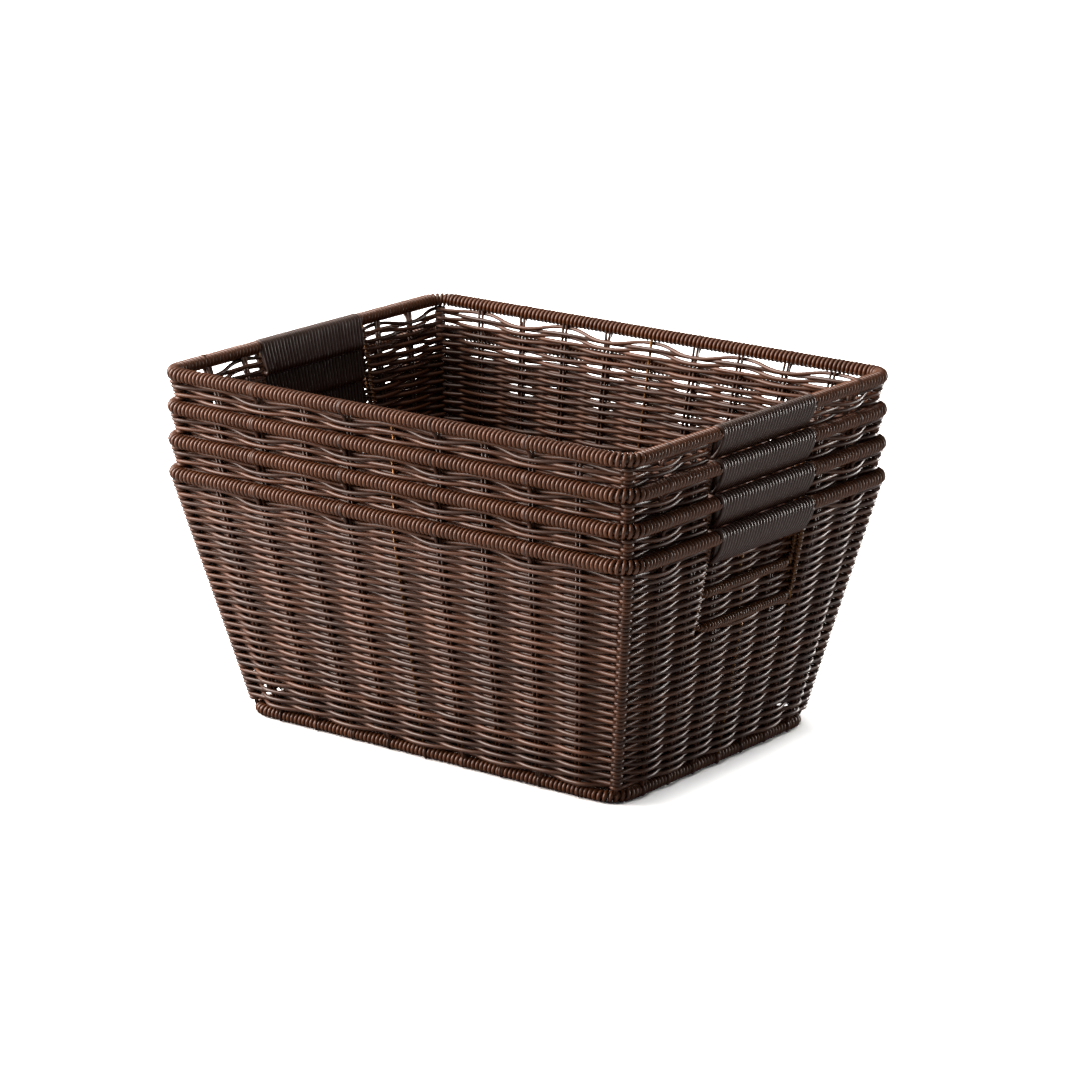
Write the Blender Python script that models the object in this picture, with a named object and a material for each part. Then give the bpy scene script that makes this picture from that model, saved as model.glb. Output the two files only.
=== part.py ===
"""Four nested woven storage baskets, each an assembly of wrapped rims, posts, weave panels and handles.

Units are metres and +Z is up. The stack stands on z = 0 with its centre on the Z axis. The long walls run
along X, and the hand holes are in the two short walls at -X and +X.
"""
import math

import bmesh
import bpy
from mathutils import Vector

# Driving dimensions of one basket. Heights are measured from the centre of its base rim.
BASKETS = 4
NEST_PITCH = 0.0226
BODY_HEIGHT = 0.166
TOP_HALF_LENGTH = 0.1903
TOP_HALF_WIDTH = 0.1432
BASE_HALF_LENGTH = 0.1533
BASE_HALF_WIDTH = 0.1050
TOP_CORNER_RADIUS = 0.014
BASE_CORNER_RADIUS = 0.015
TOP_RIM_RADIUS = 0.00495
TOP_RIM_CORE_RADIUS = 0.0025
BASE_RIM_REACH = 0.0044
GAP = 0.0003

# The weave: half the panel's thickness, and its middle surface at the base and at the top.
WEAVE_HALF_THICKNESS = 0.0019
WEAVE_BASE_HALF_LENGTH = 0.15615
WEAVE_TOP_HALF_LENGTH = 0.18695
WEAVE_BASE_HALF_WIDTH = 0.10785
WEAVE_TOP_HALF_WIDTH = 0.13995
WALL_FOOT = 0.00475
WALL_HEAD = 0.1612

# Corner posts stand inside the corner that the wall planes would make.
POST_RADIUS = 0.00195
POST_INSET_AT_BASE = 0.0068
POST_INSET_AT_TOP = 0.0012
CORNER_FLAP = 0.016
FLAP_OUTSIDE_POST = 0.0013

# Hand hole: a wire loop whose top run lies in the grip and whose bottom run is a thick wrapped bar.
HOLE_HALF_WIDTH = 0.0542
HOLE_TOP = 0.150
HOLE_BOTTOM = 0.103
LOOP_SIDE_RADIUS = 0.00185
LOOP_TOP_RADIUS = 0.0014
BAR_RADIUS = 0.0035
BAR_HALF_LENGTH = 0.044
BAR_OUTWARD_OFFSET = 0.0016
LOOP_TOP_CORNER = 0.003
LOOP_BOTTOM_CORNER = 0.008

# Grip: turns of strand laid round the rim's core and the loop's top run together.
GRIP_HALF_LENGTH = 0.0519
GRIP_TOP_RADIUS = 0.0053
GRIP_BOTTOM_RADIUS = 0.0034

SHARP_ANGLE = math.radians(50)
RIGHT_ANGLE = math.pi / 2
SIDES = 8
HALF_FACET = math.pi / SIDES
FLAT_FACTOR = math.cos(HALF_FACET)
CORNER_STEPS = 4
GRIP_ARC_STEPS = 7

MATERIALS = {
    "rim_strand": ((0.062, 0.026, 0.015), 0.30),
    "weave_strand": ((0.060, 0.025, 0.014), 0.32),
    "grip_strand": ((0.036, 0.017, 0.011), 0.34),
    "post_strand": ((0.055, 0.023, 0.013), 0.34),
}


def clear_scene():
    for existing in list(bpy.data.objects):
        bpy.data.objects.remove(existing, do_unlink=True)


def make_material(name, colour, roughness):
    material = bpy.data.materials.new(name)
    material.use_nodes = True
    shader = material.node_tree.nodes["Principled BSDF"]
    shader.inputs["Base Color"].default_value = (*colour, 1.0)
    shader.inputs["Roughness"].default_value = roughness
    shader.inputs["Metallic"].default_value = 0.0
    return material


def finish_mesh(name, bm, smooth):
    """Triangulate, point the faces outwards and return the mesh. The body is closed already."""
    bmesh.ops.triangulate(bm, faces=bm.faces)
    bmesh.ops.recalc_face_normals(bm, faces=bm.faces)
    mesh = bpy.data.meshes.new(name)
    bm.to_mesh(mesh)
    bm.free()
    if smooth:
        mesh.shade_smooth()
        mesh.set_sharp_from_angle(angle=SHARP_ANGLE)
    return mesh


def wall_middle_x(height):
    """Distance of an end wall's middle surface from the centre at a height."""
    slope = (WEAVE_TOP_HALF_LENGTH - WEAVE_BASE_HALF_LENGTH) / BODY_HEIGHT
    return WEAVE_BASE_HALF_LENGTH + slope * height


def wall_middle_y(height):
    """Distance of a long wall's middle surface from the centre at a height."""
    slope = (WEAVE_TOP_HALF_WIDTH - WEAVE_BASE_HALF_WIDTH) / BODY_HEIGHT
    return WEAVE_BASE_HALF_WIDTH + slope * height


def post_inset(height):
    """How far the corner post stands inside both wall surfaces at a height."""
    slope = (POST_INSET_AT_TOP - POST_INSET_AT_BASE) / BODY_HEIGHT
    return POST_INSET_AT_BASE + slope * height


def rounded_corners(half_x, half_y, radius, steps):
    """Points of a rounded rectangle, one list for each corner, starting at the corner +X +Y."""
    corners = []
    for index in range(4):
        start = index * RIGHT_ANGLE
        sign_x = 1 if index in (0, 3) else -1
        sign_y = 1 if index in (0, 1) else -1
        centre = Vector((sign_x * (half_x - radius), sign_y * (half_y - radius)))
        angles = [start + step * RIGHT_ANGLE / steps for step in range(steps + 1)]
        corners.append([centre + radius * Vector((math.cos(a), math.sin(a))) for a in angles])
    return corners


def closed_tube(name, stations, up):
    """Sweep a regular section round a closed path. A station is (point, radius, direction).

    The section's flats face along up and across it.
    """
    bm = bmesh.new()
    rings = []
    for point, radius, direction in stations:
        across = direction.cross(up).normalized()
        above = across.cross(direction).normalized()
        ring = []
        for side in range(SIDES):
            angle = HALF_FACET + side * 2 * HALF_FACET
            offset = radius * (math.cos(angle) * across + math.sin(angle) * above)
            ring.append(bm.verts.new(point + offset))
        rings.append(ring)
    for index, ring in enumerate(rings):
        after = rings[(index + 1) % len(rings)]
        for side in range(SIDES):
            beside = (side + 1) % SIDES
            bm.faces.new((ring[side], ring[beside], after[beside], after[side]))
    return finish_mesh(name, bm, smooth=True)


def ring_stations(half_x, half_y, corner_radius, radius, thin_radius=None):
    """Stations of a rim. With thin_radius, its end runs are thin where the grips lie."""
    stations = []
    for index, corner in enumerate(rounded_corners(half_x, half_y, corner_radius, CORNER_STEPS)):
        for step, point in enumerate(corner):
            angle = (index + step / CORNER_STEPS) * RIGHT_ANGLE
            direction = Vector((-math.sin(angle), math.cos(angle), 0))
            stations.append((point.to_3d(), radius, direction))
    if thin_radius is None:
        return stations
    shoulder = GRIP_HALF_LENGTH + GAP
    left = []
    for sign, sizes in ((1, (radius, thin_radius)), (-1, (thin_radius, radius))):
        for size in sizes:
            left.append((Vector((-half_x, sign * shoulder, 0)), size, Vector((0, -1, 0))))
    right = []
    for point, size, direction in left:
        right.append((Vector((half_x, -point.y, 0)), size, -direction))
    corner_count = CORNER_STEPS + 1
    middle = 2 * corner_count
    return stations[:middle] + left + stations[middle:] + right


def make_base_rim():
    radius = BASE_RIM_REACH / FLAT_FACTOR
    stations = ring_stations(BASE_HALF_LENGTH, BASE_HALF_WIDTH, BASE_CORNER_RADIUS, radius)
    return closed_tube("base_rim", stations, Vector((0, 0, 1)))


def make_top_rim():
    stations = ring_stations(
        TOP_HALF_LENGTH, TOP_HALF_WIDTH, TOP_CORNER_RADIUS, TOP_RIM_RADIUS, TOP_RIM_CORE_RADIUS
    )
    raised = [(point + Vector((0, 0, BODY_HEIGHT)), size, way) for point, size, way in stations]
    return closed_tube("top_rim", raised, Vector((0, 0, 1)))


def panel(name, columns, levels, is_open):
    """A slab made of cells. columns is a function of height that gives (along, middle) pairs.

    Each column point is given along the wall and out from the centre, so the slab lies between
    middle - WEAVE_HALF_THICKNESS and middle + WEAVE_HALF_THICKNESS. is_open(column, level) leaves a cell out.
    """
    bm = bmesh.new()
    sheets = []
    for side in (WEAVE_HALF_THICKNESS, -WEAVE_HALF_THICKNESS):
        grid = []
        for height in levels:
            row = [bm.verts.new((middle + side, along, height)) for along, middle in columns(height)]
            grid.append(row)
        sheets.append(grid)
    column_count = len(sheets[0][0]) - 1
    level_count = len(levels) - 1
    filled = set()
    for column in range(column_count):
        for level in range(level_count):
            if not is_open(column, level):
                filled.add((column, level))
    for column, level in filled:
        loop = ((level, column), (level, column + 1), (level + 1, column + 1), (level + 1, column))
        neighbours = ((column, level - 1), (column + 1, level), (column, level + 1), (column - 1, level))
        for grid in sheets:
            bm.faces.new([grid[i][j] for i, j in loop])
        for edge, neighbour in enumerate(neighbours):
            if neighbour in filled:
                continue
            first = loop[edge]
            second = loop[(edge + 1) % len(loop)]
            corners = [sheets[0][i][j] for i, j in (first, second)]
            corners += [sheets[1][i][j] for i, j in (second, first)]
            bm.faces.new(corners)
    loose = [vert for vert in bm.verts if not vert.link_faces]
    bmesh.ops.delete(bm, geom=loose, context="VERTS")
    return finish_mesh(name, bm, smooth=False)


def wall_columns(height, own_middle, other_middle, notch):
    """Column points of a wall that bends in towards its corner posts."""
    inset = post_inset(height)
    middle = own_middle(height)
    end = other_middle(height) - inset - POST_RADIUS - GAP
    knee = other_middle(height) - CORNER_FLAP
    half = [(end, middle - inset + FLAP_OUTSIDE_POST), (knee, middle)]
    if notch is not None:
        half.append((notch, middle))
    mirrored = [(-along, out) for along, out in half]
    return mirrored + half[::-1]


def make_end_wall():
    """End wall at +X, open where the hand hole's loop and the grip are."""
    notch = HOLE_HALF_WIDTH + LOOP_SIDE_RADIUS + GAP
    notch_foot = HOLE_BOTTOM - BAR_RADIUS - GAP

    def columns(height):
        return wall_columns(height, wall_middle_x, wall_middle_y, notch)

    return panel("end_wall", columns, [WALL_FOOT, notch_foot, WALL_HEAD], lambda i, j: i == 2 and j == 1)


def make_long_wall():
    """Long wall, built at +X and turned to its place by the object's rotation."""

    def columns(height):
        return wall_columns(height, wall_middle_y, wall_middle_x, None)

    return panel("long_wall", columns, [WALL_FOOT, WALL_HEAD], lambda i, j: False)


def make_post(sign_y):
    """Corner post at +X and at the given side of Y."""
    bm = bmesh.new()
    rings = []
    for height in (WALL_FOOT, WALL_HEAD - GAP):
        inset = post_inset(height)
        centre = Vector((wall_middle_x(height) - inset, sign_y * (wall_middle_y(height) - inset), height))
        angles = [HALF_FACET + side * 2 * HALF_FACET for side in range(SIDES)]
        offsets = [POST_RADIUS * Vector((math.cos(a), math.sin(a), 0)) for a in angles]
        rings.append([bm.verts.new(centre + offset) for offset in offsets])
    for side in range(SIDES):
        beside = (side + 1) % SIDES
        bm.faces.new((rings[0][side], rings[0][beside], rings[1][beside], rings[1][side]))
    bm.faces.new(rings[0][::-1])
    bm.faces.new(rings[1])
    return finish_mesh("corner_post", bm, smooth=True)


def make_floor():
    """Floor weave inside the base rim."""
    reach = BASE_RIM_REACH + GAP
    corners = rounded_corners(
        BASE_HALF_LENGTH - reach, BASE_HALF_WIDTH - reach, BASE_CORNER_RADIUS - reach, CORNER_STEPS
    )
    bm = bmesh.new()
    outline = []
    for corner in corners:
        for point in corner:
            outline.append(bm.verts.new((point.x, point.y, -WEAVE_HALF_THICKNESS)))
    bottom = bm.faces.new(outline)
    grown = bmesh.ops.extrude_face_region(bm, geom=[bottom])
    lifted = [item for item in grown["geom"] if isinstance(item, bmesh.types.BMVert)]
    bmesh.ops.translate(bm, verts=lifted, vec=(0, 0, 2 * WEAVE_HALF_THICKNESS))
    return finish_mesh("floor", bm, smooth=False)


def loop_point(along, height, outward):
    return Vector((wall_middle_x(height) + outward, along, height))


def make_hand_hole_loop():
    """Wire loop round the hand hole at +X, in the plane of the end wall."""
    outline = []
    straight_top = HOLE_HALF_WIDTH - LOOP_TOP_CORNER
    straight_bottom = HOLE_HALF_WIDTH - LOOP_BOTTOM_CORNER
    for step in range(CORNER_STEPS + 1):
        angle = step * RIGHT_ANGLE / CORNER_STEPS
        along = straight_top + LOOP_TOP_CORNER * math.cos(angle)
        height = HOLE_TOP - LOOP_TOP_CORNER + LOOP_TOP_CORNER * math.sin(angle)
        outline.append((along, height, 0, LOOP_TOP_RADIUS))
    outline.insert(0, (HOLE_HALF_WIDTH, HOLE_TOP - 2 * LOOP_TOP_CORNER, 0, LOOP_SIDE_RADIUS))
    for step in range(CORNER_STEPS + 1):
        angle = -step * RIGHT_ANGLE / CORNER_STEPS
        along = straight_bottom + LOOP_BOTTOM_CORNER * math.cos(angle)
        height = HOLE_BOTTOM + LOOP_BOTTOM_CORNER + LOOP_BOTTOM_CORNER * math.sin(angle)
        outline.insert(0, (along, height, 0, LOOP_SIDE_RADIUS))
    outline.insert(0, (BAR_HALF_LENGTH, HOLE_BOTTOM, BAR_OUTWARD_OFFSET, BAR_RADIUS))
    mirrored = [(-along, height, outward, size) for along, height, outward, size in reversed(outline)]
    outline += mirrored
    points = [loop_point(along, height, outward) for along, height, outward, size in outline]
    slope = (wall_middle_x(HOLE_TOP) - wall_middle_x(HOLE_BOTTOM)) / (HOLE_TOP - HOLE_BOTTOM)
    outwards = Vector((1, 0, -slope)).normalized()
    stations = []
    for index, point in enumerate(points):
        before = points[index - 1]
        after = points[(index + 1) % len(points)]
        stations.append((point, outline[index][3], (after - before).normalized()))
    return closed_tube("hand_hole_loop", stations, outwards)


def circle(centre, radius, start, stop, steps):
    angles = [start + (stop - start) * step / steps for step in range(steps + 1)]
    return [(centre[0] + radius * math.cos(a), centre[1] + radius * math.sin(a)) for a in angles]


def make_grip():
    """Grip at +X: the outline of two round bars with strand drawn tight round both, bored for both."""
    rim = (TOP_HALF_LENGTH, BODY_HEIGHT)
    bar = (wall_middle_x(HOLE_TOP), HOLE_TOP)
    distance = math.hypot(rim[0] - bar[0], rim[1] - bar[1])
    lean = math.atan2(rim[1] - bar[1], rim[0] - bar[0])
    spread = math.acos((GRIP_TOP_RADIUS - GRIP_BOTTOM_RADIUS) / distance)
    outline = circle(rim, GRIP_TOP_RADIUS, lean - math.pi + spread, lean + math.pi - spread, GRIP_ARC_STEPS)
    outline += circle(
        bar, GRIP_BOTTOM_RADIUS, lean + math.pi - spread, lean + math.pi + spread, GRIP_ARC_STEPS
    )
    bores = []
    for centre, core in ((rim, TOP_RIM_CORE_RADIUS), (bar, LOOP_TOP_RADIUS)):
        wall = (core + GAP) / FLAT_FACTOR
        bores.append(circle(centre, wall, HALF_FACET, HALF_FACET + 2 * math.pi, SIDES)[:-1])
    bm = bmesh.new()
    loops = []
    for end in (-GRIP_HALF_LENGTH, GRIP_HALF_LENGTH):
        loops.append([[bm.verts.new((x, end, z)) for x, z in loop] for loop in [outline] + bores])
    for first, second in zip(*loops):
        for index, vert in enumerate(first):
            beside = (index + 1) % len(first)
            bm.faces.new((vert, first[beside], second[beside], second[index]))
    for rings in loops:
        edges = []
        for ring in rings:
            for index, vert in enumerate(ring):
                edges.append(bm.edges.get((vert, ring[(index + 1) % len(ring)])))
        bmesh.ops.triangle_fill(bm, use_beauty=True, use_dissolve=False, edges=edges)
    return finish_mesh("grip", bm, smooth=True)


def place(name, mesh, material, body, turn=0.0):
    """Put one named piece under its basket's empty, turned about the basket's upright axis."""
    piece = bpy.data.objects.new(name, mesh)
    bpy.context.scene.collection.objects.link(piece)
    if not mesh.materials:
        mesh.materials.append(material)
    piece.parent = body
    piece.rotation_euler = (0, 0, turn)
    return piece


def make_body(number, below):
    """Empty on the basket's upright axis, which is the axis that the basket lifts along."""
    body = bpy.data.objects.new(f"basket_{number}_body", None)
    bpy.context.scene.collection.objects.link(body)
    body.parent = below
    body.location = (0, 0, BASE_RIM_REACH if below is None else NEST_PITCH)
    return body


def main():
    clear_scene()
    materials = {name: make_material(name, *values) for name, values in MATERIALS.items()}
    half_turn = math.pi
    quarter_turn = RIGHT_ANGLE
    end_wall = make_end_wall()
    long_wall = make_long_wall()
    grip = make_grip()
    loop = make_hand_hole_loop()
    post_back = make_post(1)
    post_front = make_post(-1)
    pieces = (
        ("top_rim", make_top_rim(), "rim_strand", 0.0),
        ("base_rim", make_base_rim(), "rim_strand", 0.0),
        ("floor_weave", make_floor(), "weave_strand", 0.0),
        ("back_wall_weave", long_wall, "weave_strand", quarter_turn),
        ("front_wall_weave", long_wall, "weave_strand", -quarter_turn),
        ("right_wall_weave", end_wall, "weave_strand", 0.0),
        ("left_wall_weave", end_wall, "weave_strand", half_turn),
        ("right_hand_hole_loop", loop, "rim_strand", 0.0),
        ("left_hand_hole_loop", loop, "rim_strand", half_turn),
        ("right_grip", grip, "grip_strand", 0.0),
        ("left_grip", grip, "grip_strand", half_turn),
        ("corner_post_back_right", post_back, "post_strand", 0.0),
        ("corner_post_front_left", post_back, "post_strand", half_turn),
        ("corner_post_front_right", post_front, "post_strand", 0.0),
        ("corner_post_back_left", post_front, "post_strand", half_turn),
    )
    below = None
    for number in range(1, BASKETS + 1):
        body = make_body(number, below)
        for piece_name, mesh, material_name, turn in pieces:
            place(f"basket_{number}_{piece_name}", mesh, materials[material_name], body, turn)
        below = body
    bpy.context.view_layer.update()


main()
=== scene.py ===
"""Looks of four nested woven baskets: every strand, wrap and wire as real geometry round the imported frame.

Meshes are made once, for the lowest basket with its base rim's centre at height 0, and shared by all four.
"""
import math

import bpy
import numpy as np
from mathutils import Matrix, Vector


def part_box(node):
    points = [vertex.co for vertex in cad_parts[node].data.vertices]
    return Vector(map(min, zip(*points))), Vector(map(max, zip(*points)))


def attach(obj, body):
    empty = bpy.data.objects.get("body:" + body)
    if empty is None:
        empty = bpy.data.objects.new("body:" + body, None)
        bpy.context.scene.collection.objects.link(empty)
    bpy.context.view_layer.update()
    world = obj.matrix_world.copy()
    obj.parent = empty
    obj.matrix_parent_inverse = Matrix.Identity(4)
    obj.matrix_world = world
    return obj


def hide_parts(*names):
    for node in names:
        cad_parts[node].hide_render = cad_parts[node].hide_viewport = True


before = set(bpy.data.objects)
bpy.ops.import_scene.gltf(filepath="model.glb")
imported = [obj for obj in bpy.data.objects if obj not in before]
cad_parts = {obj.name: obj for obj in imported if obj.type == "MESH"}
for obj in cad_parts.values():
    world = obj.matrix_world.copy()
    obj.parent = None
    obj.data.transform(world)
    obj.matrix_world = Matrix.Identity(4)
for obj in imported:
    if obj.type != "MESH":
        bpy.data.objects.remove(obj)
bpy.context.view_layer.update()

BASKETS = 4
UP = np.array([0.0, 0.0, 1.0])
ALONG_X = np.array([1.0, 0.0, 0.0])
ALONG_Y = np.array([0.0, 1.0, 0.0])

# ---------------------------------------------------------------- sizes read from the frame


def box_of(node):
    """Lowest and highest corner of a CAD node."""
    low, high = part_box(node)
    return np.array(low), np.array(high)


RIM_LOW, RIM_HIGH = box_of("basket_1_top_rim")
BASE_LOW, BASE_HIGH = box_of("basket_1_base_rim")
PITCH = box_of("basket_2_base_rim")[0][2] - BASE_LOW[2]
GROUND = BASE_LOW[2]
BASE_CENTRE_Z = (BASE_LOW[2] + BASE_HIGH[2]) / 2
BODY_HEIGHT = (RIM_LOW[2] + RIM_HIGH[2]) / 2 - BASE_CENTRE_Z
RIM_SECTION = (RIM_HIGH[2] - RIM_LOW[2]) / 2
BASE_SECTION = (BASE_HIGH[2] - BASE_LOW[2]) / 2
TOP_HALF = RIM_HIGH[:2] - RIM_SECTION
BASE_HALF = BASE_HIGH[:2] - BASE_SECTION
GRIP_HALF = box_of("basket_1_right_grip")[1][1]

# ---------------------------------------------------------------- driving sizes, in metres
# Heights are above the base rim's centre. Strand sizes are radii.

# Rims: corner radius of each ring, radius of its wrapped section, the wrap's strand and its step.
TOP_CORNER = 0.014
BASE_CORNER = 0.015
TOP_RIM_RADIUS = 0.0049
BASE_RIM_RADIUS = 0.0043
RIM_TURN = 0.00337
RIM_STRAND = 0.00131
BASE_STRAND = 0.00128
RIM_CORE_POINTS = 160
RIM_CORE_OVERLAP = 0.0003
CORNER_POINTS = 13
TURN_STEPS = 14
CORE_SIDES = 8

# Weave: weft rows, how far they wave to each side of the wall's middle, and how unevenly they lie.
ROW_PITCH = PITCH / 8
FIRST_ROW = 0.0074
WEFT = 0.00138
WAVE = 0.0027
WOBBLE = 0.00016
WOBBLE_LIMIT = 0.0003
LONG_INTERVALS = 10
END_INTERVALS = 8
STEPS = 10
STRAND_SIDES = 6

# Walls: distance of their middle from the rims' centre lines, along x and y.
WALL_AT_TOP = np.array([-0.00335, -0.00325])
WALL_AT_BASE = np.array([0.00285, 0.00285])

# Rows under the rim: how far a hook pulls each one down, from the top row on, and the share by which
# the rows rise at the stakes between the hooks.
DIPS = (0.0032, 0.0024, 0.0016, 0.0010, 0.0005, 0.0002)
RISE = 0.15

# Stakes: pairs of strands, deeper than wide, and single wires.
STAKE = 0.00074
STAKE_DEPTH = 0.0014
STAKE_SPACING = 0.0030
STAKE_FOOT = 0.004
STAKE_TOP_GAP = 0.003
STAKE_POINTS = 5
WIRE = STAKE * 1.15
STAKE_HOOK = STAKE * 1.25

# Hooks over the base rim: from the wall down and round the rim's outside.
BASE_HOOK_TOP = 0.0085
BASE_HOOK_BEND = 0.0058
BASE_HOOK_BEND_ON_WALL = 0.0055
BASE_HOOK_SINK = 0.0002
BASE_HOOK_ANGLES = np.radians(np.array([62, 45, 25, 5, -15, -35, -55]))

# Hooks of the rim's strand: round the rim, then down over a stake.
RIM_HOOK_RISE = 0.0002
RIM_HOOK_ANGLES = np.radians(np.linspace(100, -75, 8))
RIM_HOOK_DROPS = np.array([0.0072, 0.0098, 0.0125])
RIM_HOOK_PROUD = np.array([0.0027, 0.0022, 0.0])

# Corner posts: three strands, set in from the corner by a distance at the base and at the top.
POST_CORE = 0.0015
POST_STRAND = POST_CORE * 0.48
POST_STRANDS = 3
POST_TURN = 0.5
POST_INSET = (0.0060, 0.0003)
POST_TOP_GAP = 0.002
RING_STEPS = 14

# Hand holes: half width, the height of the cord's run in the grip, and the bar along the bottom.
HOLE_HALF = 0.0540
HOLE_TOP = 0.150
HOLE_MARGIN = 0.004
HOLE_WIRE_FOOT = 0.030
TAIL_POINTS = 3
BAR_HEIGHT = 0.103
BAR_OUT = 0.0016
BAR_RADIUS = 0.0035
BAR_HALF = 0.0485
BAR_TAPER = 0.004
BAR_BAND = 0.001
BAR_CLEAR = 0.0038

# Cord round a hand hole.
CORD_RADIUS = 0.0019
CORD_TURN = ROW_PITCH
CORD_STRAND = 0.00078
BAR_STRAND_EXTRA = 0.00027
CORD_CORE_DEPTH = 0.0012
CORD_TURN_STEPS = 12
CORD_CORNER = 0.008
CORD_TOP_GAP = 0.0048
CORD_SIDE_POINTS = 24
CORD_ARC_POINTS = 9
CORD_BAR_POINTS = 30

# Grips: wound round a circle at the rim and a smaller one at the cord's run below it.
GRIP_TOP_RADIUS = 0.0054
GRIP_BAR_RADIUS = 0.0034
GRIP_STRAND = (0.00136, 0.00150)
GRIP_BULGE = 0.0013
GRIP_TURN = 0.00336
GRIP_NARROWING = 0.03
GRIP_TURN_STEPS = 30
GRIP_ARC_POINTS = 40
GRIP_BULGE_POINTS = 14
GRIP_CORE_POINTS = 24
GRIP_CORE_OVERLAP = 0.0002
GRIP_CORE_INSET = 0.0016

# Floor weave, inside the base rim.
FLOOR_WAVE = 0.0019
FLOOR_SPACING = 0.0029
FLOOR_OVERLAP = 0.0015
FLOOR_SIDE_GAP = 0.003
FLOOR_CORNER = 0.010
FLOOR_CORNER_CUT = 2

# Shade of each kind of strand, from 0, dark, to 1, light. Rows, floor strands and hooks draw their own.
RIM_SHADE = 0.5
WIRE_SHADE = 0.5
CORD_SHADE = 0.55
GRIP_SHADE = 0.4
STAKE_SHADE = 0.25
STAKE_SHADE_RANGE = 0.3
FLOOR_STAKE_SHADE = 0.3
POST_SHADE = 0.3
POST_SHADE_STEP = 0.1
# The cores show only in the gaps between the turns wound round them, and their dark shades are painted
# shadow in those gaps.
CORD_CORE_PAINTED_SHADOW = 0.1
CORE_PAINTED_SHADOW = 0.0

# Seeds of the random wobble and shades.
FRONT_SEED = 11
RIGHT_SEED = 12
FLOOR_SEED = 31

# ---------------------------------------------------------------- meshes from tubes


class Strands:
    """Collects tubes as arrays and turns them into one mesh with a shade value on each point."""

    def __init__(self):
        self.points = []
        self.quads = []
        self.caps = []
        self.shades = []
        self.count = 0

    def add(self, points, quads, caps, shade):
        """Add one shell. quads and caps number its own points from 0."""
        self.points.append(points)
        self.quads.append(quads + self.count)
        if caps is not None:
            self.caps.append(caps + self.count)
        self.shades.append(np.full(len(points), shade))
        self.count += len(points)

    def tube(self, path, radius, across, shade, sides=STRAND_SIDES, closed=False):
        """Sweep a round or elliptical section along path. across is a direction that is never along it.

        radius is a number, an array with one value for each point, or a pair of such values: the first
        is the half width along across, and the second is the half width square to it.
        """
        path = np.asarray(path, float)
        count = len(path)
        if closed:
            tangent = np.roll(path, -1, 0) - np.roll(path, 1, 0)
        else:
            tangent = np.gradient(path, axis=0)
        tangent /= np.linalg.norm(tangent, axis=1)[:, None]
        across = np.broadcast_to(np.asarray(across, float), path.shape)
        side = across - tangent * np.sum(across * tangent, 1)[:, None]
        side /= np.linalg.norm(side, axis=1)[:, None]
        other = np.cross(tangent, side)
        wide, thick = radius if isinstance(radius, tuple) else (radius, radius)
        wide = np.broadcast_to(wide, (count,))
        thick = np.broadcast_to(thick, (count,))
        angles = np.arange(sides) * 2 * math.pi / sides + math.pi / sides
        ring = (np.cos(angles)[None, :, None] * (side * wide[:, None])[:, None, :]
                + np.sin(angles)[None, :, None] * (other * thick[:, None])[:, None, :])
        points = (path[:, None, :] + ring).reshape(-1, 3)
        rows = np.arange(count if closed else count - 1)[:, None]
        place = np.arange(sides)[None, :]
        here = rows * sides + place
        beside = rows * sides + (place + 1) % sides
        after = ((rows + 1) % count) * sides + place
        after_beside = ((rows + 1) % count) * sides + (place + 1) % sides
        quads = np.stack([here, beside, after_beside, after], -1).reshape(-1, 4)
        caps = None if closed else np.stack([np.arange(sides)[::-1], (count - 1) * sides + np.arange(sides)])
        self.add(points, quads, caps, shade)

    def mesh(self, name):
        """One mesh of everything collected, smooth shaded."""
        points = np.concatenate(self.points)
        quads = np.concatenate(self.quads)
        corners = [quads.ravel()]
        totals = [np.full(len(quads), 4)]
        for caps in self.caps:
            corners.append(caps.ravel())
            totals.append(np.full(len(caps), caps.shape[1]))
        corners = np.concatenate(corners)
        totals = np.concatenate(totals)
        starts = np.concatenate([[0], np.cumsum(totals)[:-1]])
        mesh = bpy.data.meshes.new(name)
        mesh.vertices.add(len(points))
        mesh.vertices.foreach_set("co", points.astype(np.float32).ravel())
        mesh.loops.add(len(corners))
        mesh.loops.foreach_set("vertex_index", corners.astype(np.int32))
        mesh.polygons.add(len(totals))
        mesh.polygons.foreach_set("loop_start", starts.astype(np.int32))
        mesh.polygons.foreach_set("use_smooth", np.ones(len(totals), bool))
        mesh.update(calc_edges=True)
        mesh.validate()
        shade = mesh.attributes.new("shade", "FLOAT", "POINT")
        shade.data.foreach_set("value", np.concatenate(self.shades).astype(np.float32))
        return mesh


def lengths_along(points):
    """Distance of each point from the first, along the line through them."""
    return np.concatenate([[0], np.cumsum(np.linalg.norm(np.diff(points, axis=0), axis=1))])


def between(at, length, values):
    """Rows of values at the distances at, where length holds the distance of each row."""
    return np.stack([np.interp(at, length, column) for column in values.T], 1)


# ---------------------------------------------------------------- the basket's walls


def wall_middle(height):
    """Half length and half width of the walls' middle surface at a height above the base rim's centre."""
    share = np.asarray(height)[..., None] / BODY_HEIGHT
    base = BASE_HALF + WALL_AT_BASE
    top = TOP_HALF + WALL_AT_TOP
    return base + (top - base) * share


def post_inset(height):
    """How far a corner post stands in from the two walls' middles at a height."""
    return POST_INSET[0] + (POST_INSET[1] - POST_INSET[0]) * np.asarray(height) / BODY_HEIGHT


def smooth_step(share):
    """Ease from 0 to 1 that is flat at both ends."""
    return share ** 3 * (share * (6 * share - 15) + 10)


LINEAR = np.linspace(0, 1, STEPS, endpoint=False)
SMOOTH = smooth_step(LINEAR)


def joined(values, share):
    """Values at the ends of equal intervals, joined by steps that go from 0 to 1 as share does."""
    values = np.asarray(values, float)
    steps = values[:-1, None] + np.diff(values)[:, None] * share[None, :]
    return np.append(steps.ravel(), values[-1])


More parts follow.
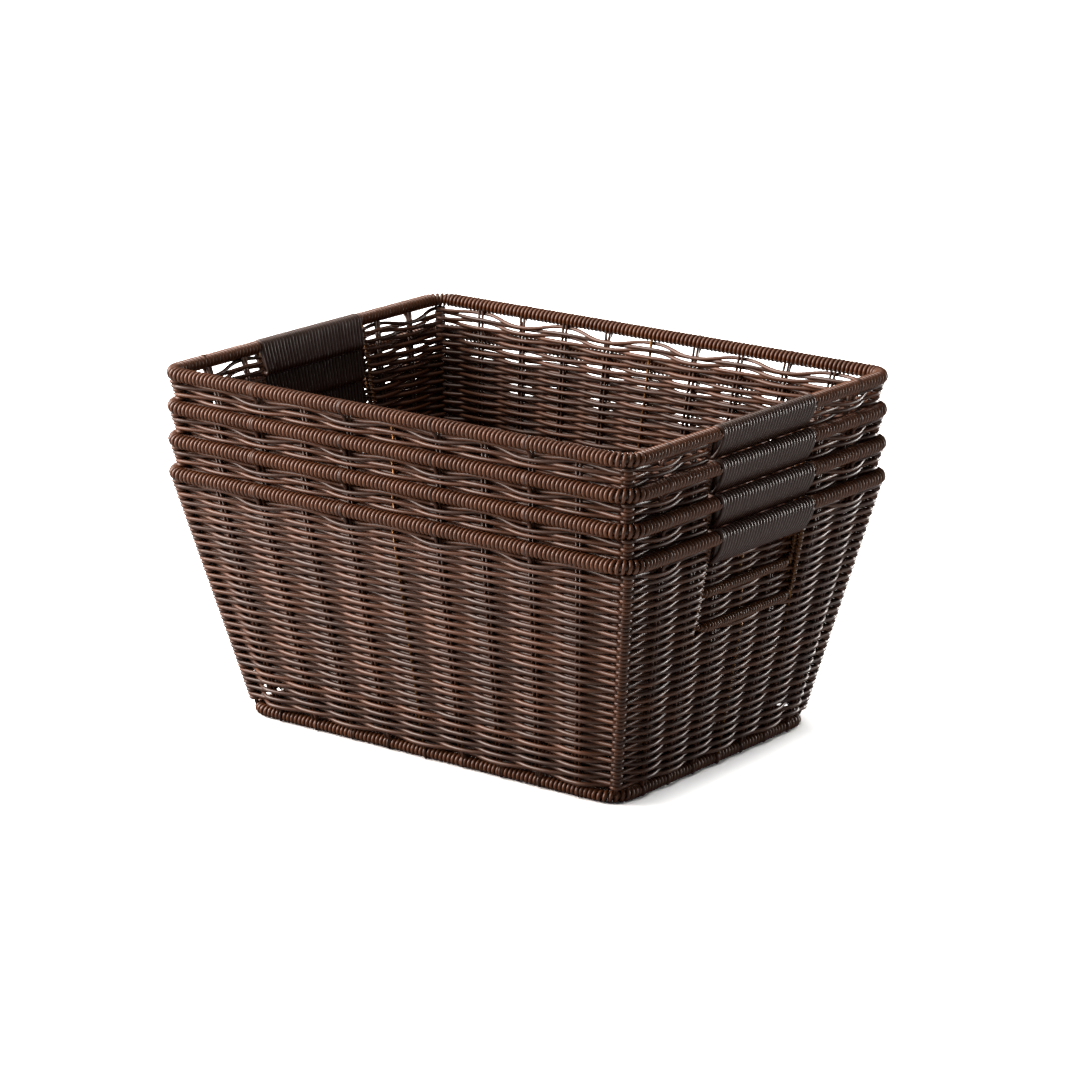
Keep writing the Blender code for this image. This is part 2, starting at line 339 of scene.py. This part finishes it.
class Wall:
    """One of the four walls. Its own frame is along the wall, out from the centre, and up."""

    def __init__(self, axis, sign, intervals, phase):
        self.axis = axis
        self.holed = axis == 0
        self.intervals = intervals
        self.phase = phase
        self.out = np.zeros(3)
        self.out[axis] = sign
        self.along = np.cross(UP, self.out)

    def place(self, along, out, height):
        return (np.multiply.outer(along, self.along) + np.multiply.outer(out, self.out)
                + np.multiply.outer(height, UP))

    def stake_share(self, index):
        return -1 + 2 * index / self.intervals

    def hooked(self, index):
        """Whether a turn of the rim's strand holds this stake."""
        return index % 2 == self.phase

    def middle(self, height):
        return wall_middle(height)[..., self.axis]

    def half(self, height):
        return wall_middle(height)[..., 1 - self.axis]


FRONT = Wall(1, -1, LONG_INTERVALS, 0)
RIGHT = Wall(0, 1, END_INTERVALS, 1)
ROWS = int((BODY_HEIGHT - TOP_RIM_RADIUS - FIRST_ROW) / ROW_PITCH) + 1


def row_heights(wall, row, wobble):
    """Height of one row at each stake: level, with a small wobble, and dipping under the rim's hooks."""
    heights = FIRST_ROW + row * ROW_PITCH + wobble
    from_top = ROWS - 1 - row
    if from_top < len(DIPS):
        for stake in range(1, wall.intervals):
            if wall.hooked(stake):
                heights[stake] -= DIPS[from_top]
            else:
                heights[stake] += RISE * DIPS[from_top]
    return heights


def post_ring(strands, wall, row, shade):
    """The turn that a row takes round the post at the wall's first corner."""
    level = FIRST_ROW + row * ROW_PITCH
    inset = post_inset(level)
    reach = POST_CORE + WEFT
    angles = np.linspace(0, 2 * math.pi, RING_STEPS, endpoint=False)
    along = inset - wall.half(level) + reach * np.cos(angles)
    out = wall.middle(level) - inset + reach * np.sin(angles)
    strands.tube(wall.place(along, out, np.full(RING_STEPS, level)), WEFT, UP, shade, closed=True)


def weave_row(strands, wall, row, wobble, shade):
    """One strand of weft across one wall, between the rings round the posts at its two ends.

    Beside a hand hole it is two strands, each of which runs straight into the hole's side wire.
    """
    level = FIRST_ROW + row * ROW_PITCH
    inset = post_inset(level)
    middle = wall.middle(level)
    stakes = range(wall.intervals + 1)
    sides = np.array([1 if (i + row + wall.phase) % 2 else -1 for i in stakes])
    along_at = np.array([wall.stake_share(i) for i in stakes]) * wall.half(level)
    along_at[0] += inset
    along_at[-1] -= inset
    out_at = middle + WAVE * sides
    out_at[0] = out_at[-1] = middle - inset + (POST_CORE + WEFT) * sides[0]
    along = joined(along_at, LINEAR)
    line = np.stack([along, joined(out_at, SMOOTH), joined(row_heights(wall, row, wobble), SMOOTH)])
    if not wall.holed or level < BAR_HEIGHT - BAR_CLEAR:
        strands.tube(wall.place(*line), WEFT, UP, shade)
        return
    share = np.linspace(1, 0, TAIL_POINTS + 1)[1:]
    ease = (1 - np.cos(share * math.pi)) / 2
    for side in (-1, 1):
        part = line[:, along * side > HOLE_HALF + HOLE_MARGIN]
        near_along, near_out, near_height = part[:, 0 if side == 1 else -1]
        edge = HOLE_HALF * side
        tail = np.stack([edge + (near_along - edge) * share, middle + (near_out - middle) * ease,
                         np.full(TAIL_POINTS, near_height)])
        whole = np.hstack([tail[:, ::-1], part]) if side == 1 else np.hstack([part, tail])
        strands.tube(wall.place(*whole), WEFT, UP, shade)


def stake_run(strands, wall, share, low, high, offset, radius, shade):
    """One upright strand that leans with the wall."""
    heights = np.linspace(low, high, STAKE_POINTS)
    strands.tube(wall.place(share * wall.half(heights) + offset, wall.middle(heights), heights),
                 radius, wall.out, shade)


def base_hook(strands, wall, share, radius, shade):
    """The lower end of a stake, turned down over the outside of the base rim."""
    reach = BASE_RIM_RADIUS - BASE_HOOK_SINK
    out = np.concatenate([[wall.middle(BASE_HOOK_TOP), wall.middle(BASE_HOOK_BEND_ON_WALL)],
                          BASE_HALF[wall.axis] + reach * np.cos(BASE_HOOK_ANGLES)])
    height = np.concatenate([[BASE_HOOK_TOP, BASE_HOOK_BEND], reach * np.sin(BASE_HOOK_ANGLES)])
    along = np.full(len(out), share * wall.half(0.0))
    strands.tube(wall.place(along, out, height), radius, wall.along, shade)


def rim_hook(strands, wall, share, shade):
    """A turn of the rim's strand that drops below the rim and holds a stake."""
    reach = TOP_RIM_RADIUS - RIM_STRAND + RIM_HOOK_RISE
    drop = BODY_HEIGHT - RIM_HOOK_DROPS
    out = np.concatenate([TOP_HALF[wall.axis] + reach * np.cos(RIM_HOOK_ANGLES),
                          wall.middle(drop) + RIM_HOOK_PROUD])
    height = np.concatenate([BODY_HEIGHT + reach * np.sin(RIM_HOOK_ANGLES), drop])
    along = np.full(len(out), share * wall.half(BODY_HEIGHT))
    strands.tube(wall.place(along, out, height), RIM_STRAND, wall.along, shade)


def make_wall(name, wall, seed):
    """Meshes of one wall's strands and of its single wires."""
    strands = Strands()
    wires = Strands()
    random = np.random.default_rng(seed)
    for row in range(ROWS):
        wobble = random.normal(0, WOBBLE, wall.intervals + 1).clip(-WOBBLE_LIMIT, WOBBLE_LIMIT)
        wobble[0] = wobble[-1] = 0
        shade = random.random()
        weave_row(strands, wall, row, wobble, shade)
        post_ring(strands, wall, row, shade)
    top = BODY_HEIGHT - STAKE_TOP_GAP
    for index in range(1, wall.intervals):
        share = wall.stake_share(index)
        over_hole = wall.holed and abs(share * wall.half(BAR_HEIGHT)) < HOLE_HALF
        high = BAR_HEIGHT if over_hole else top
        if index * 2 == wall.intervals:
            stake_run(wires, wall, share, 0.0, high, 0.0, (STAKE_DEPTH, WIRE), WIRE_SHADE)
            base_hook(strands, wall, share, RIM_STRAND, random.random())
            continue
        for offset in (-STAKE_SPACING / 2, STAKE_SPACING / 2):
            shade = STAKE_SHADE + STAKE_SHADE_RANGE * random.random()
            stake_run(strands, wall, share, STAKE_FOOT, high, offset, (STAKE_DEPTH, STAKE), shade)
        base_hook(strands, wall, share, STAKE_HOOK, random.random())
        if wall.hooked(index) and not over_hole:
            rim_hook(strands, wall, share, random.random())
    if wall.holed:
        heights = np.array([BAR_HEIGHT - HOLE_WIRE_FOOT, BAR_HEIGHT, top])
        for side in (-1, 1):
            along = np.full(len(heights), side * HOLE_HALF)
            wires.tube(wall.place(along, wall.middle(heights), heights), WIRE, wall.out, WIRE_SHADE)
    return strands.mesh(name), wires.mesh(name + "_wires")


# ---------------------------------------------------------------- rims


def rounded_path(half, corner):
    """Closed rounded rectangle: points, outward normals and distances, starting at +X, Y = 0."""
    straight_x = half[0] - corner
    straight_y = half[1] - corner
    corners = [(straight_x, straight_y, 0), (-straight_x, straight_y, 90),
               (-straight_x, -straight_y, 180), (straight_x, -straight_y, 270)]
    points = [np.array([[half[0], 0.0]])]
    normals = [np.array([[1.0, 0.0]])]
    for x, y, start in corners:
        angles = np.radians(start + np.linspace(0, 90, CORNER_POINTS))
        normal = np.stack([np.cos(angles), np.sin(angles)], 1)
        points.append(np.array([[x, y]]) + corner * normal)
        normals.append(normal)
    points = np.concatenate([*points, points[0]])
    normals = np.concatenate([*normals, normals[0]])
    return points, normals, lengths_along(points)


def wind(strands, centre, normal, span, reach, turn, radius, shade, turn_steps):
    """Helix of strand round a path, over a span of distances along it.

    centre and normal are functions of distance. reach and radius are functions of distance or numbers.
    """
    start, stop = span
    turns = max(1, round((stop - start) / turn))
    steps = turns * turn_steps + 1
    at = np.linspace(start, stop, steps)
    angle = np.linspace(0, turns * 2 * math.pi, steps)
    middle = centre(at)
    outward = normal(at)
    tangent = np.gradient(middle, axis=0)
    tangent /= np.linalg.norm(tangent, axis=1)[:, None]
    above = np.cross(outward, tangent)
    reach = np.broadcast_to(reach(at) if callable(reach) else reach, (steps,))
    path = middle + reach[:, None] * (np.cos(angle)[:, None] * outward + np.sin(angle)[:, None] * above)
    strands.tube(path, radius(at) if callable(radius) else radius, tangent, shade)


def make_rim(name, half, corner, reach, strand, height, gap):
    """Wrapped ring. Where gap is a number, the wrap stops that far each side of the end walls' middles."""
    strands = Strands()
    points, normals, length = rounded_path(half, corner)
    total = length[-1]

    def centre(at):
        return np.hstack([between(at, length, points), np.full((len(at), 1), height)])

    def normal(at):
        flat = between(at, length, normals)
        flat /= np.linalg.norm(flat, axis=1)[:, None]
        return np.hstack([flat, np.zeros((len(at), 1))])

    if gap is None:
        spans = [(0.0, total)]
    else:
        spans = [(gap, total / 2 - gap), (total / 2 + gap, total - gap)]
    for span in spans:
        wind(strands, centre, normal, span, reach - strand, RIM_TURN, strand, RIM_SHADE, TURN_STEPS)
    # The core is given the darkest shade: painted shadow in the gaps between the turns.
    core = centre(np.linspace(0, total, RIM_CORE_POINTS, endpoint=False))
    core_radius = reach - 2 * strand + RIM_CORE_OVERLAP
    strands.tube(core, core_radius, UP, CORE_PAINTED_SHADOW, sides=CORE_SIDES, closed=True)
    return strands.mesh(name)


# ---------------------------------------------------------------- hand holes


def loop_route():
    """Middle line of the cord round the hand hole at +X, and how far each point is part of the thick bar.

    It goes down one side, along the bar and up the other side.
    """
    straight = HOLE_HALF - CORD_CORNER
    bend = BAR_HEIGHT + CORD_CORNER
    sides = np.linspace(BODY_HEIGHT - CORD_TOP_GAP, bend, CORD_SIDE_POINTS)
    arc = np.radians(np.linspace(0, 90, CORD_ARC_POINTS))[1:]
    along = np.concatenate([np.full(CORD_SIDE_POINTS, HOLE_HALF), straight + CORD_CORNER * np.cos(arc)])
    height = np.concatenate([sides, bend - CORD_CORNER * np.sin(arc)])
    bar = np.linspace(straight, -straight, CORD_BAR_POINTS + 2)[1:-1]
    along = np.concatenate([along, bar, -along[::-1]])
    height = np.concatenate([height, np.full(CORD_BAR_POINTS, BAR_HEIGHT), height[::-1]])
    low = height < BAR_HEIGHT + BAR_BAND
    thickness = np.clip((BAR_HALF - np.abs(along)) / BAR_TAPER, 0, 1) * low
    out = RIGHT.middle(height) + BAR_OUT * thickness
    return np.stack([out, along, height], 1), thickness


def make_loop(name):
    """Cord round a hand hole: a bent core wound with strand, thicker along the bar."""
    strands = Strands()
    route, thickness = loop_route()
    length = lengths_along(route)
    slope = RIGHT.middle(1.0) - RIGHT.middle(0.0)
    outward = np.array([1.0, 0.0, -slope])
    outward /= np.linalg.norm(outward)

    def centre(at):
        return between(at, length, route)

    def normal(at):
        return np.broadcast_to(outward, (len(at), 3))

    def share(at):
        return np.interp(at, length, thickness)

    def strand(at):
        return CORD_STRAND + BAR_STRAND_EXTRA * share(at)

    def reach(at):
        return CORD_RADIUS + (BAR_RADIUS - CORD_RADIUS) * share(at) - strand(at)

    span = (0.0, length[-1])
    wind(strands, centre, normal, span, reach, CORD_TURN, strand, CORD_SHADE, CORD_TURN_STEPS)
    # The core is given a dark shade: painted shadow in the gaps between the turns.
    core_radius = CORD_RADIUS + (BAR_RADIUS - CORD_RADIUS) * thickness - CORD_CORE_DEPTH
    strands.tube(route, core_radius, normal(length), CORD_CORE_PAINTED_SHADOW, sides=CORE_SIDES)
    return strands.mesh(name)


def grip_outline(inward, steps):
    """Closed outline round the rim's and the cord's circles, moved in by a distance. Points are (x, z)."""
    rim = np.array([TOP_HALF[0], BODY_HEIGHT])
    bar = np.array([RIGHT.middle(HOLE_TOP), HOLE_TOP])
    span = rim - bar
    lean = math.atan2(span[1], span[0])
    spread = math.acos((GRIP_TOP_RADIUS - GRIP_BAR_RADIUS) / np.linalg.norm(span))
    top = np.linspace(lean - math.pi + spread, lean + math.pi - spread, GRIP_ARC_POINTS)
    low = np.linspace(lean + math.pi - spread, lean + math.pi + spread, GRIP_ARC_POINTS)
    down = np.array([math.cos(lean + math.pi + spread), math.sin(lean + math.pi + spread)])
    bulge = np.linspace(0, 1, GRIP_BULGE_POINTS)[1:-1, None]
    start = bar + (GRIP_BAR_RADIUS - inward) * down
    stop = rim + (GRIP_TOP_RADIUS - inward) * down
    outline = np.concatenate([
        rim + (GRIP_TOP_RADIUS - inward) * np.stack([np.cos(top), np.sin(top)], 1),
        bar + (GRIP_BAR_RADIUS - inward) * np.stack([np.cos(low), np.sin(low)], 1),
        start + (stop - start) * bulge + down * GRIP_BULGE * np.sin(math.pi * bulge),
    ])
    outline = np.concatenate([outline, outline[:1]])
    length = lengths_along(outline)
    return between(np.linspace(0, length[-1], steps, endpoint=False), length, outline)


def grip_narrowing(height):
    """How much shorter the grip is at a height than at the rim, as a factor."""
    return 1 - GRIP_NARROWING * (BODY_HEIGHT - height).clip(0, None) / (BODY_HEIGHT - HOLE_TOP)


def make_grip(name):
    """Strand wound side by side round the rim and the cord below it, over a closed core."""
    strands = Strands()
    outline = grip_outline(GRIP_STRAND[1], GRIP_TURN_STEPS)
    turns = round(2 * GRIP_HALF / GRIP_TURN) + 1
    steps = turns * GRIP_TURN_STEPS
    index = np.arange(steps + 1) % GRIP_TURN_STEPS
    end = GRIP_HALF - GRIP_STRAND[0]
    over = end + GRIP_TURN / 2
    along = np.linspace(-over, over, steps + 1).clip(-end, end)
    height = outline[index, 1]
    path = np.stack([outline[index, 0], along * grip_narrowing(height), height], 1)
    strands.tube(path, GRIP_STRAND, ALONG_Y, GRIP_SHADE, sides=CORE_SIDES)
    # The core is given the darkest shade: painted shadow in the grooves between the turns.
    inner = grip_outline(2 * GRIP_STRAND[1] - GRIP_CORE_OVERLAP, GRIP_CORE_POINTS)
    half = (GRIP_HALF - GRIP_CORE_INSET) * grip_narrowing(inner[:, 1])
    ends = [np.stack([inner[:, 0], sign * half, inner[:, 1]], 1) for sign in (-1, 1)]
    count = len(inner)
    here = np.arange(count)
    beside = (here + 1) % count
    quads = np.stack([here, beside, beside + count, here + count], 1)
    strands.add(np.concatenate(ends), quads, np.stack([here[::-1], here + count]), CORE_PAINTED_SHADOW)
    return strands.mesh(name)


# ---------------------------------------------------------------- posts and floor


def make_post(name, sign_y):
    """Strands side by side that stand in the corner at +X."""
    strands = Strands()
    heights = np.linspace(0.0, BODY_HEIGHT - POST_TOP_GAP, STAKE_POINTS)
    middle = wall_middle(heights)
    inset = post_inset(heights)
    reach = POST_CORE - POST_STRAND
    for index in range(POST_STRANDS):
        angle = index * 2 * math.pi / POST_STRANDS + POST_TURN
        x = middle[:, 0] - inset + reach * math.cos(angle)
        y = sign_y * (middle[:, 1] - inset) + reach * math.sin(angle)
        shade = POST_SHADE + POST_SHADE_STEP * index
        strands.tube(np.stack([x, y, heights], 1), POST_STRAND, ALONG_X, shade)
    return strands.mesh(name)


def make_floor(name, seed):
    """Flat plain weave inside the base rim, over the ends of the long walls' stakes."""
    strands = Strands()
    random = np.random.default_rng(seed)
    reach = BASE_HALF - BASE_RIM_RADIUS + FLOOR_OVERLAP
    rows = int(2 * (reach[1] - FLOOR_SIDE_GAP) / FLOOR_SPACING)
    stakes = np.array([FRONT.stake_share(i) for i in range(LONG_INTERVALS + 1)]) * reach[0]
    x = joined(stakes, LINEAR)
    for row in range(rows):
        y = (row - (rows - 1) / 2) * FLOOR_SPACING
        sides = np.array([FLOOR_WAVE * (1 if (i + row) % 2 == 0 else -1) for i in range(len(stakes))])
        sides[0] = sides[-1] = 0
        path = np.stack([x, np.full(len(x), y), joined(sides, SMOOTH)], 1)
        if abs(y) > reach[1] - FLOOR_CORNER:
            path = path[FLOOR_CORNER_CUT:-FLOOR_CORNER_CUT]
        strands.tube(path, WEFT, ALONG_Y, random.random())
    for stake in stakes[1:-1]:
        for offset in (-STAKE_SPACING / 2, STAKE_SPACING / 2):
            path = [[stake + offset, y, 0] for y in (-reach[1], 0, reach[1])]
            strands.tube(path, STAKE, ALONG_X, FLOOR_STAKE_SHADE)
    return strands.mesh(name)


# ---------------------------------------------------------------- materials

# Resin: a broad noise and the strand's shade set the brown, and a fine noise makes the surface uneven.
BROAD_SCALE = 38.0
BROAD_DETAIL = 3.0
FINE_SCALE = 420.0
FINE_DETAIL = 2.0
BROAD_WEIGHT = 0.55
SHADE_WEIGHT = 0.6
SHADE_OFFSET = -0.05
DARK_AT = 0.15
LIGHT_AT = 0.95
SMOOTHER = 0.05
ROUGHER = 0.09
BUMP_STRENGTH = 0.05
BUMP_DEPTH = 0.0004
RESIN_IOR = 1.5

WIRE_DARK = (0.13, 0.052, 0.013)
WIRE_LIGHT = (0.26, 0.115, 0.03)
WIRE_NOISE_SCALE = 220.0
WIRE_NOISE_DETAIL = 2.0
WIRE_ROUGHNESS = 0.35
WIRE_METALLIC = 0.6


def node_material(name):
    """New material with nodes: the material, its nodes and its links."""
    material = bpy.data.materials.new(name)
    material.use_nodes = True
    return material, material.node_tree.nodes, material.node_tree.links


def noise_node(nodes, scale, detail):
    noise = nodes.new("ShaderNodeTexNoise")
    noise.inputs["Scale"].default_value = scale
    noise.inputs["Detail"].default_value = detail
    return noise


def ramp_node(nodes, stops):
    """Colour ramp between two stops, each a position and a colour."""
    ramp = nodes.new("ShaderNodeValToRGB")
    for element, (position, colour) in zip(ramp.color_ramp.elements, stops):
        element.position = position
        element.color = (*colour, 1.0)
    return ramp


def scale_and_add(nodes, factor):
    scaled = nodes.new("ShaderNodeMath")
    scaled.operation = "MULTIPLY_ADD"
    scaled.inputs[1].default_value = factor
    return scaled


def range_node(nodes, low, high):
    mapped = nodes.new("ShaderNodeMapRange")
    mapped.inputs["To Min"].default_value = low
    mapped.inputs["To Max"].default_value = high
    return mapped


def resin(name, dark, light, roughness):
    """Extruded resin strand: brown that shifts from strand to strand, with fine streaks and soft gloss."""
    material, nodes, links = node_material(name)
    shader = nodes["Principled BSDF"]
    shader.inputs["IOR"].default_value = RESIN_IOR
    coordinates = nodes.new("ShaderNodeTexCoord")
    broad = noise_node(nodes, BROAD_SCALE, BROAD_DETAIL)
    fine = noise_node(nodes, FINE_SCALE, FINE_DETAIL)
    for noise in (broad, fine):
        links.new(coordinates.outputs["Object"], noise.inputs["Vector"])
    attribute = nodes.new("ShaderNodeAttribute")
    attribute.attribute_name = "shade"
    shade = scale_and_add(nodes, SHADE_WEIGHT)
    shade.inputs[2].default_value = SHADE_OFFSET
    links.new(attribute.outputs["Fac"], shade.inputs[0])
    tone = scale_and_add(nodes, BROAD_WEIGHT)
    links.new(broad.outputs["Fac"], tone.inputs[0])
    links.new(shade.outputs[0], tone.inputs[2])
    ramp = ramp_node(nodes, ((DARK_AT, dark), (LIGHT_AT, light)))
    links.new(tone.outputs[0], ramp.inputs["Fac"])
    links.new(ramp.outputs["Color"], shader.inputs["Base Color"])
    gloss = range_node(nodes, roughness - SMOOTHER, roughness + ROUGHER)
    links.new(broad.outputs["Fac"], gloss.inputs["Value"])
    links.new(gloss.outputs["Result"], shader.inputs["Roughness"])
    bump = nodes.new("ShaderNodeBump")
    bump.inputs["Strength"].default_value = BUMP_STRENGTH
    bump.inputs["Distance"].default_value = BUMP_DEPTH
    links.new(fine.outputs["Fac"], bump.inputs["Height"])
    links.new(bump.outputs["Normal"], shader.inputs["Normal"])
    return material


def wire_material():
    """Bronze-coloured coated wire."""
    material, nodes, links = node_material("bronze_wire")
    shader = nodes["Principled BSDF"]
    shader.inputs["Roughness"].default_value = WIRE_ROUGHNESS
    shader.inputs["Metallic"].default_value = WIRE_METALLIC
    noise = noise_node(nodes, WIRE_NOISE_SCALE, WIRE_NOISE_DETAIL)
    ramp = ramp_node(nodes, ((0.0, WIRE_DARK), (1.0, WIRE_LIGHT)))
    links.new(noise.outputs["Fac"], ramp.inputs["Fac"])
    links.new(ramp.outputs["Color"], shader.inputs["Base Color"])
    return material


# ---------------------------------------------------------------- assembly


def add_piece(name, mesh, material, number, turn, nodes):
    """One piece of a basket. turn is its angle about the upright axis, and nodes are what it replaces."""
    piece = bpy.data.objects.new(name, mesh)
    bpy.context.scene.collection.objects.link(piece)
    if not mesh.materials:
        mesh.materials.append(material)
    piece.location = (0, 0, BASE_CENTRE_Z + (number - 1) * PITCH)
    piece.rotation_euler = (0, 0, turn)
    bpy.context.view_layer.update()
    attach(piece, f"basket_{number}")
    if nodes:
        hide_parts(*nodes)


def build_baskets():
    """All pieces of the four baskets. The back and left walls are the front and right ones, turned round."""
    weave = resin("weave_resin", (0.039, 0.0123, 0.0043), (0.112, 0.037, 0.0132), 0.43)
    rim = resin("rim_resin", (0.046, 0.0142, 0.0048), (0.175, 0.058, 0.0195), 0.37)
    cord = resin("cord_resin", (0.046, 0.0155, 0.0050), (0.155, 0.055, 0.0180), 0.34)
    # The grips are wound with the same brown strand as the rest; their darker brown is painted shade for
    # grips on the unlit sides.
    grip = resin("grip_resin_painted_shade", (0.024, 0.0084, 0.0040), (0.066, 0.0240, 0.0115), 0.42)
    wire = wire_material()
    half_turn = math.pi
    front, front_wires = make_wall("front_weave", FRONT, FRONT_SEED)
    right, right_wires = make_wall("right_weave", RIGHT, RIGHT_SEED)
    top_rim = make_rim("top_rim_wrap", TOP_HALF, TOP_CORNER, TOP_RIM_RADIUS, RIM_STRAND,
                       BODY_HEIGHT, GRIP_HALF)
    base_rim = make_rim("base_rim_wrap", BASE_HALF, BASE_CORNER, BASE_RIM_RADIUS, BASE_STRAND, 0.0, None)
    loop = make_loop("hand_hole_cord")
    grip_wrap = make_grip("grip_wrap")
    posts = (make_post("corner_strands", 1), make_post("corner_strands_other", -1))
    floor = make_floor("floor_strands", FLOOR_SEED)
    pieces = (
        ("top_rim", "wrap", top_rim, rim, 0.0, "rim_strand"),
        ("base_rim", "wrap", base_rim, rim, 0.0, "rim_strand"),
        ("floor_weave", "strands", floor, weave, 0.0, "weave_strand"),
        ("front_wall_weave", "strands", front, weave, 0.0, "weave_strand"),
        ("back_wall_weave", "strands", front, weave, half_turn, "weave_strand"),
        ("right_wall_weave", "strands", right, weave, 0.0, "weave_strand"),
        ("left_wall_weave", "strands", right, weave, half_turn, "weave_strand"),
        ("right_hand_hole_loop", "cord", loop, cord, 0.0, "rim_strand"),
        ("left_hand_hole_loop", "cord", loop, cord, half_turn, "rim_strand"),
        ("right_grip", "wrap", grip_wrap, grip, 0.0, "grip_strand"),
        ("left_grip", "wrap", grip_wrap, grip, half_turn, "grip_strand"),
        ("corner_post_back_right", "strands", posts[0], weave, 0.0, "post_strand"),
        ("corner_post_front_left", "strands", posts[0], weave, half_turn, "post_strand"),
        ("corner_post_front_right", "strands", posts[1], weave, 0.0, "post_strand"),
        ("corner_post_back_left", "strands", posts[1], weave, half_turn, "post_strand"),
    )
    wires = (("front", front_wires, 0.0), ("back", front_wires, half_turn),
             ("right", right_wires, 0.0), ("left", right_wires, half_turn))
    for number in range(1, BASKETS + 1):
        start = f"basket_{number}_"
        for node, kind, mesh, material, turn, slot in pieces:
            add_piece(f"{start}{node}_{kind}", mesh, material, number, turn, [start + node])
        for side, mesh, turn in wires:
            add_piece(f"{start}{side}_wires", mesh, wire, number, turn, [])


# ---------------------------------------------------------------- stage, light and camera

FLOOR_SIZE = 12.0
FLOOR_LIGHT = 9.0
FLOOR_LIGHT_SPREAD = math.radians(38)
# The camera sees the floor and the surroundings brighter than they light the object.
FLOOR_GREY = 0.15
FLOOR_SEEN = 0.95
WORLD_LIGHT = 0.14
WORLD_SEEN = 1.2
LIGHT_TARGET = Vector((0, 0, 0.1))

CAMERA_AZIMUTH = math.radians(37.69)
CAMERA_ELEVATION = math.radians(15.84)
CAMERA_DISTANCE = 2.944
CAMERA_TARGET = Vector((-0.11535, 0.16366, BASE_CENTRE_Z + 0.06325))
CAMERA_LENS = 137.2
SENSOR_WIDTH = 36.0
CAMERA_REACH = 50.0


def stage_material():
    """White floor, darker to every ray but the camera's."""
    material, nodes, links = node_material("white_floor")
    nodes.clear()
    out = nodes.new("ShaderNodeOutputMaterial")
    path = nodes.new("ShaderNodeLightPath")
    mix = nodes.new("ShaderNodeMixShader")
    links.new(path.outputs["Is Camera Ray"], mix.inputs["Fac"])
    for socket, grey in ((1, FLOOR_GREY), (2, FLOOR_SEEN)):
        matt = nodes.new("ShaderNodeBsdfDiffuse")
        matt.inputs["Color"].default_value = (grey, grey, grey, 1.0)
        links.new(matt.outputs[0], mix.inputs[socket])
    links.new(mix.outputs[0], out.inputs["Surface"])
    return material


def build_floor():
    """Studio floor, and a broad light from straight above that lights the floor only."""
    mesh = bpy.data.meshes.new("studio_floor")
    size = FLOOR_SIZE
    mesh.from_pydata([(-size, -size, 0), (size, -size, 0), (size, size, 0), (-size, size, 0)],
                     [], [(0, 1, 2, 3)])
    mesh.materials.append(stage_material())
    floor = bpy.data.objects.new("studio_floor", mesh)
    floor.location = (0, 0, GROUND)
    bpy.context.scene.collection.objects.link(floor)
    sun = bpy.data.objects.new("floor_light", bpy.data.lights.new("floor_light", "SUN"))
    sun.data.energy = FLOOR_LIGHT
    sun.data.angle = FLOOR_LIGHT_SPREAD
    lit = bpy.data.collections.new("lit_by_floor_light")
    lit.objects.link(floor)
    sun.light_linking.receiver_collection = lit
    bpy.context.scene.collection.objects.link(sun)


def build_world():
    """Even white surroundings, dimmer to every ray but the camera's."""
    world = bpy.data.worlds.new("studio")
    bpy.context.scene.world = world
    world.use_nodes = True
    nodes = world.node_tree.nodes
    links = world.node_tree.links
    background = nodes["Background"]
    background.inputs["Color"].default_value = (1, 1, 1, 1)
    path = nodes.new("ShaderNodeLightPath")
    strength = range_node(nodes, WORLD_LIGHT, WORLD_SEEN)
    links.new(path.outputs["Is Camera Ray"], strength.inputs["Value"])
    links.new(strength.outputs["Result"], background.inputs["Strength"])


def add_light(name, place, size, power, colour):
    """Softbox that faces the object and doesn't show in the picture."""
    data = bpy.data.lights.new(name, "AREA")
    data.shape = "RECTANGLE"
    data.size, data.size_y = size
    data.energy = power
    data.color = colour
    light = bpy.data.objects.new(name, data)
    bpy.context.scene.collection.objects.link(light)
    light.location = place
    light.rotation_mode = "QUATERNION"
    light.rotation_quaternion = (LIGHT_TARGET - Vector(place)).to_track_quat("-Z", "Y")
    light.visible_camera = False


def build_lights():
    add_light("left_softbox", (-1.35, -0.9, 0.85), (1.3, 1.3), 93, (1.0, 0.92, 0.87))
    add_light("back_panel", (0.1, 1.75, 0.17), (1.7, 0.40), 52, (1.0, 0.97, 0.94))
    add_light("top_softbox", (-0.4, -0.2, 1.8), (0.9, 0.9), 18, (1.0, 0.96, 0.93))


def build_camera():
    """Long lens from the front right, a little above."""
    level = math.cos(CAMERA_ELEVATION)
    back = Vector((math.sin(CAMERA_AZIMUTH) * level, -math.cos(CAMERA_AZIMUTH) * level,
                   math.sin(CAMERA_ELEVATION)))
    data = bpy.data.cameras.new("photo_view")
    data.sensor_width = SENSOR_WIDTH
    data.lens = CAMERA_LENS
    data.clip_end = CAMERA_REACH
    camera = bpy.data.objects.new("photo_view", data)
    bpy.context.scene.collection.objects.link(camera)
    camera.rotation_mode = "QUATERNION"
    camera.location = CAMERA_TARGET + back * CAMERA_DISTANCE
    camera.rotation_quaternion = (-back).to_track_quat("-Z", "Y")
    bpy.context.scene.camera = camera


bpy.context.scene.view_settings.view_transform = "Standard"
build_camera()
build_baskets()
build_floor()
build_world()
build_lights()
bpy.context.view_layer.update()
